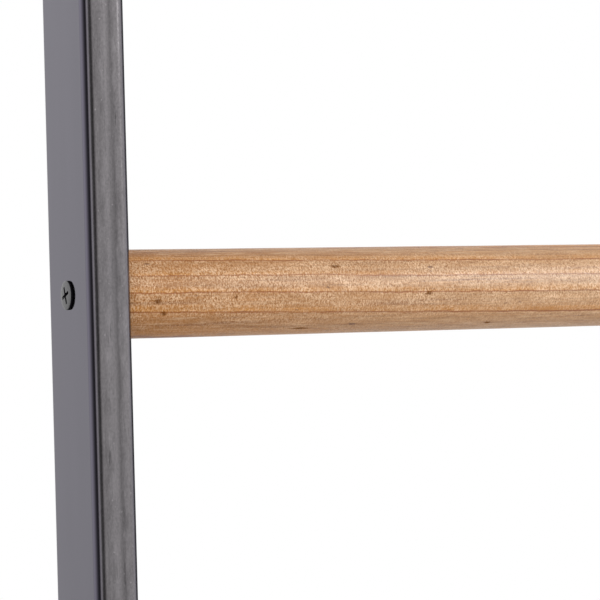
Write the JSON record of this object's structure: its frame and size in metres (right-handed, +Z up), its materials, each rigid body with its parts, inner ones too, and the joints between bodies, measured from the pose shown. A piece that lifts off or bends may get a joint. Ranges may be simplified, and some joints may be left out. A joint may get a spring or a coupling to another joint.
{
  "type": "quilt rack",
  "caption": "Free-standing quilt rack: rectangular steel tube uprights on floor runners, joined by round wooden rungs that are screwed through the uprights.",
  "frame": {"origin": "on the floor, at the middle of the rack", "axes": "+Z up, +X along the rungs to the right as seen from the front, -Y to the front"},
  "size_m": [0.7918, 0.38, 0.91],
  "materials": {
    "gunmetal_steel": "satin dark grey with a faint violet tone, finely mottled with lengthwise streaks",
    "natural_wood": "light pine, matt clear coat, straight grain along the rung",
    "screw_steel": "blackened, satin",
    "brass_insert": "plain turned",
    "black_plastic": "matt, finely grained"
  },
  "bodies": {
    "root": {"left_upright": "gunmetal_steel", "left_floor_runner": "gunmetal_steel", "left_weld_bead": "gunmetal_steel", "left_upright_cap": "black_plastic", "left_front_runner_cap": "black_plastic", "left_front_glide": "black_plastic", "left_back_runner_cap": "black_plastic", "left_back_glide": "black_plastic", "screw_left_1": "screw_steel", "threaded_insert_left_1": "brass_insert", "screw_left_2": "screw_steel", "threaded_insert_left_2": "brass_insert", "screw_left_3": "screw_steel", "threaded_insert_left_3": "brass_insert", "screw_left_4": "screw_steel", "threaded_insert_left_4": "brass_insert", "right_upright": "gunmetal_steel", "right_floor_runner": "gunmetal_steel", "right_weld_bead": "gunmetal_steel", "right_upright_cap": "black_plastic", "right_front_runner_cap": "black_plastic", "right_front_glide": "black_plastic", "right_back_runner_cap": "black_plastic", "right_back_glide": "black_plastic", "screw_right_1": "screw_steel", "threaded_insert_right_1": "brass_insert", "screw_right_2": "screw_steel", "threaded_insert_right_2": "brass_insert", "screw_right_3": "screw_steel", "threaded_insert_right_3": "brass_insert", "screw_right_4": "screw_steel", "threaded_insert_right_4": "brass_insert", "rung_1": "natural_wood", "rung_2": "natural_wood", "rung_3": "natural_wood", "rung_4": "natural_wood"}
  },
  "joints": []
}
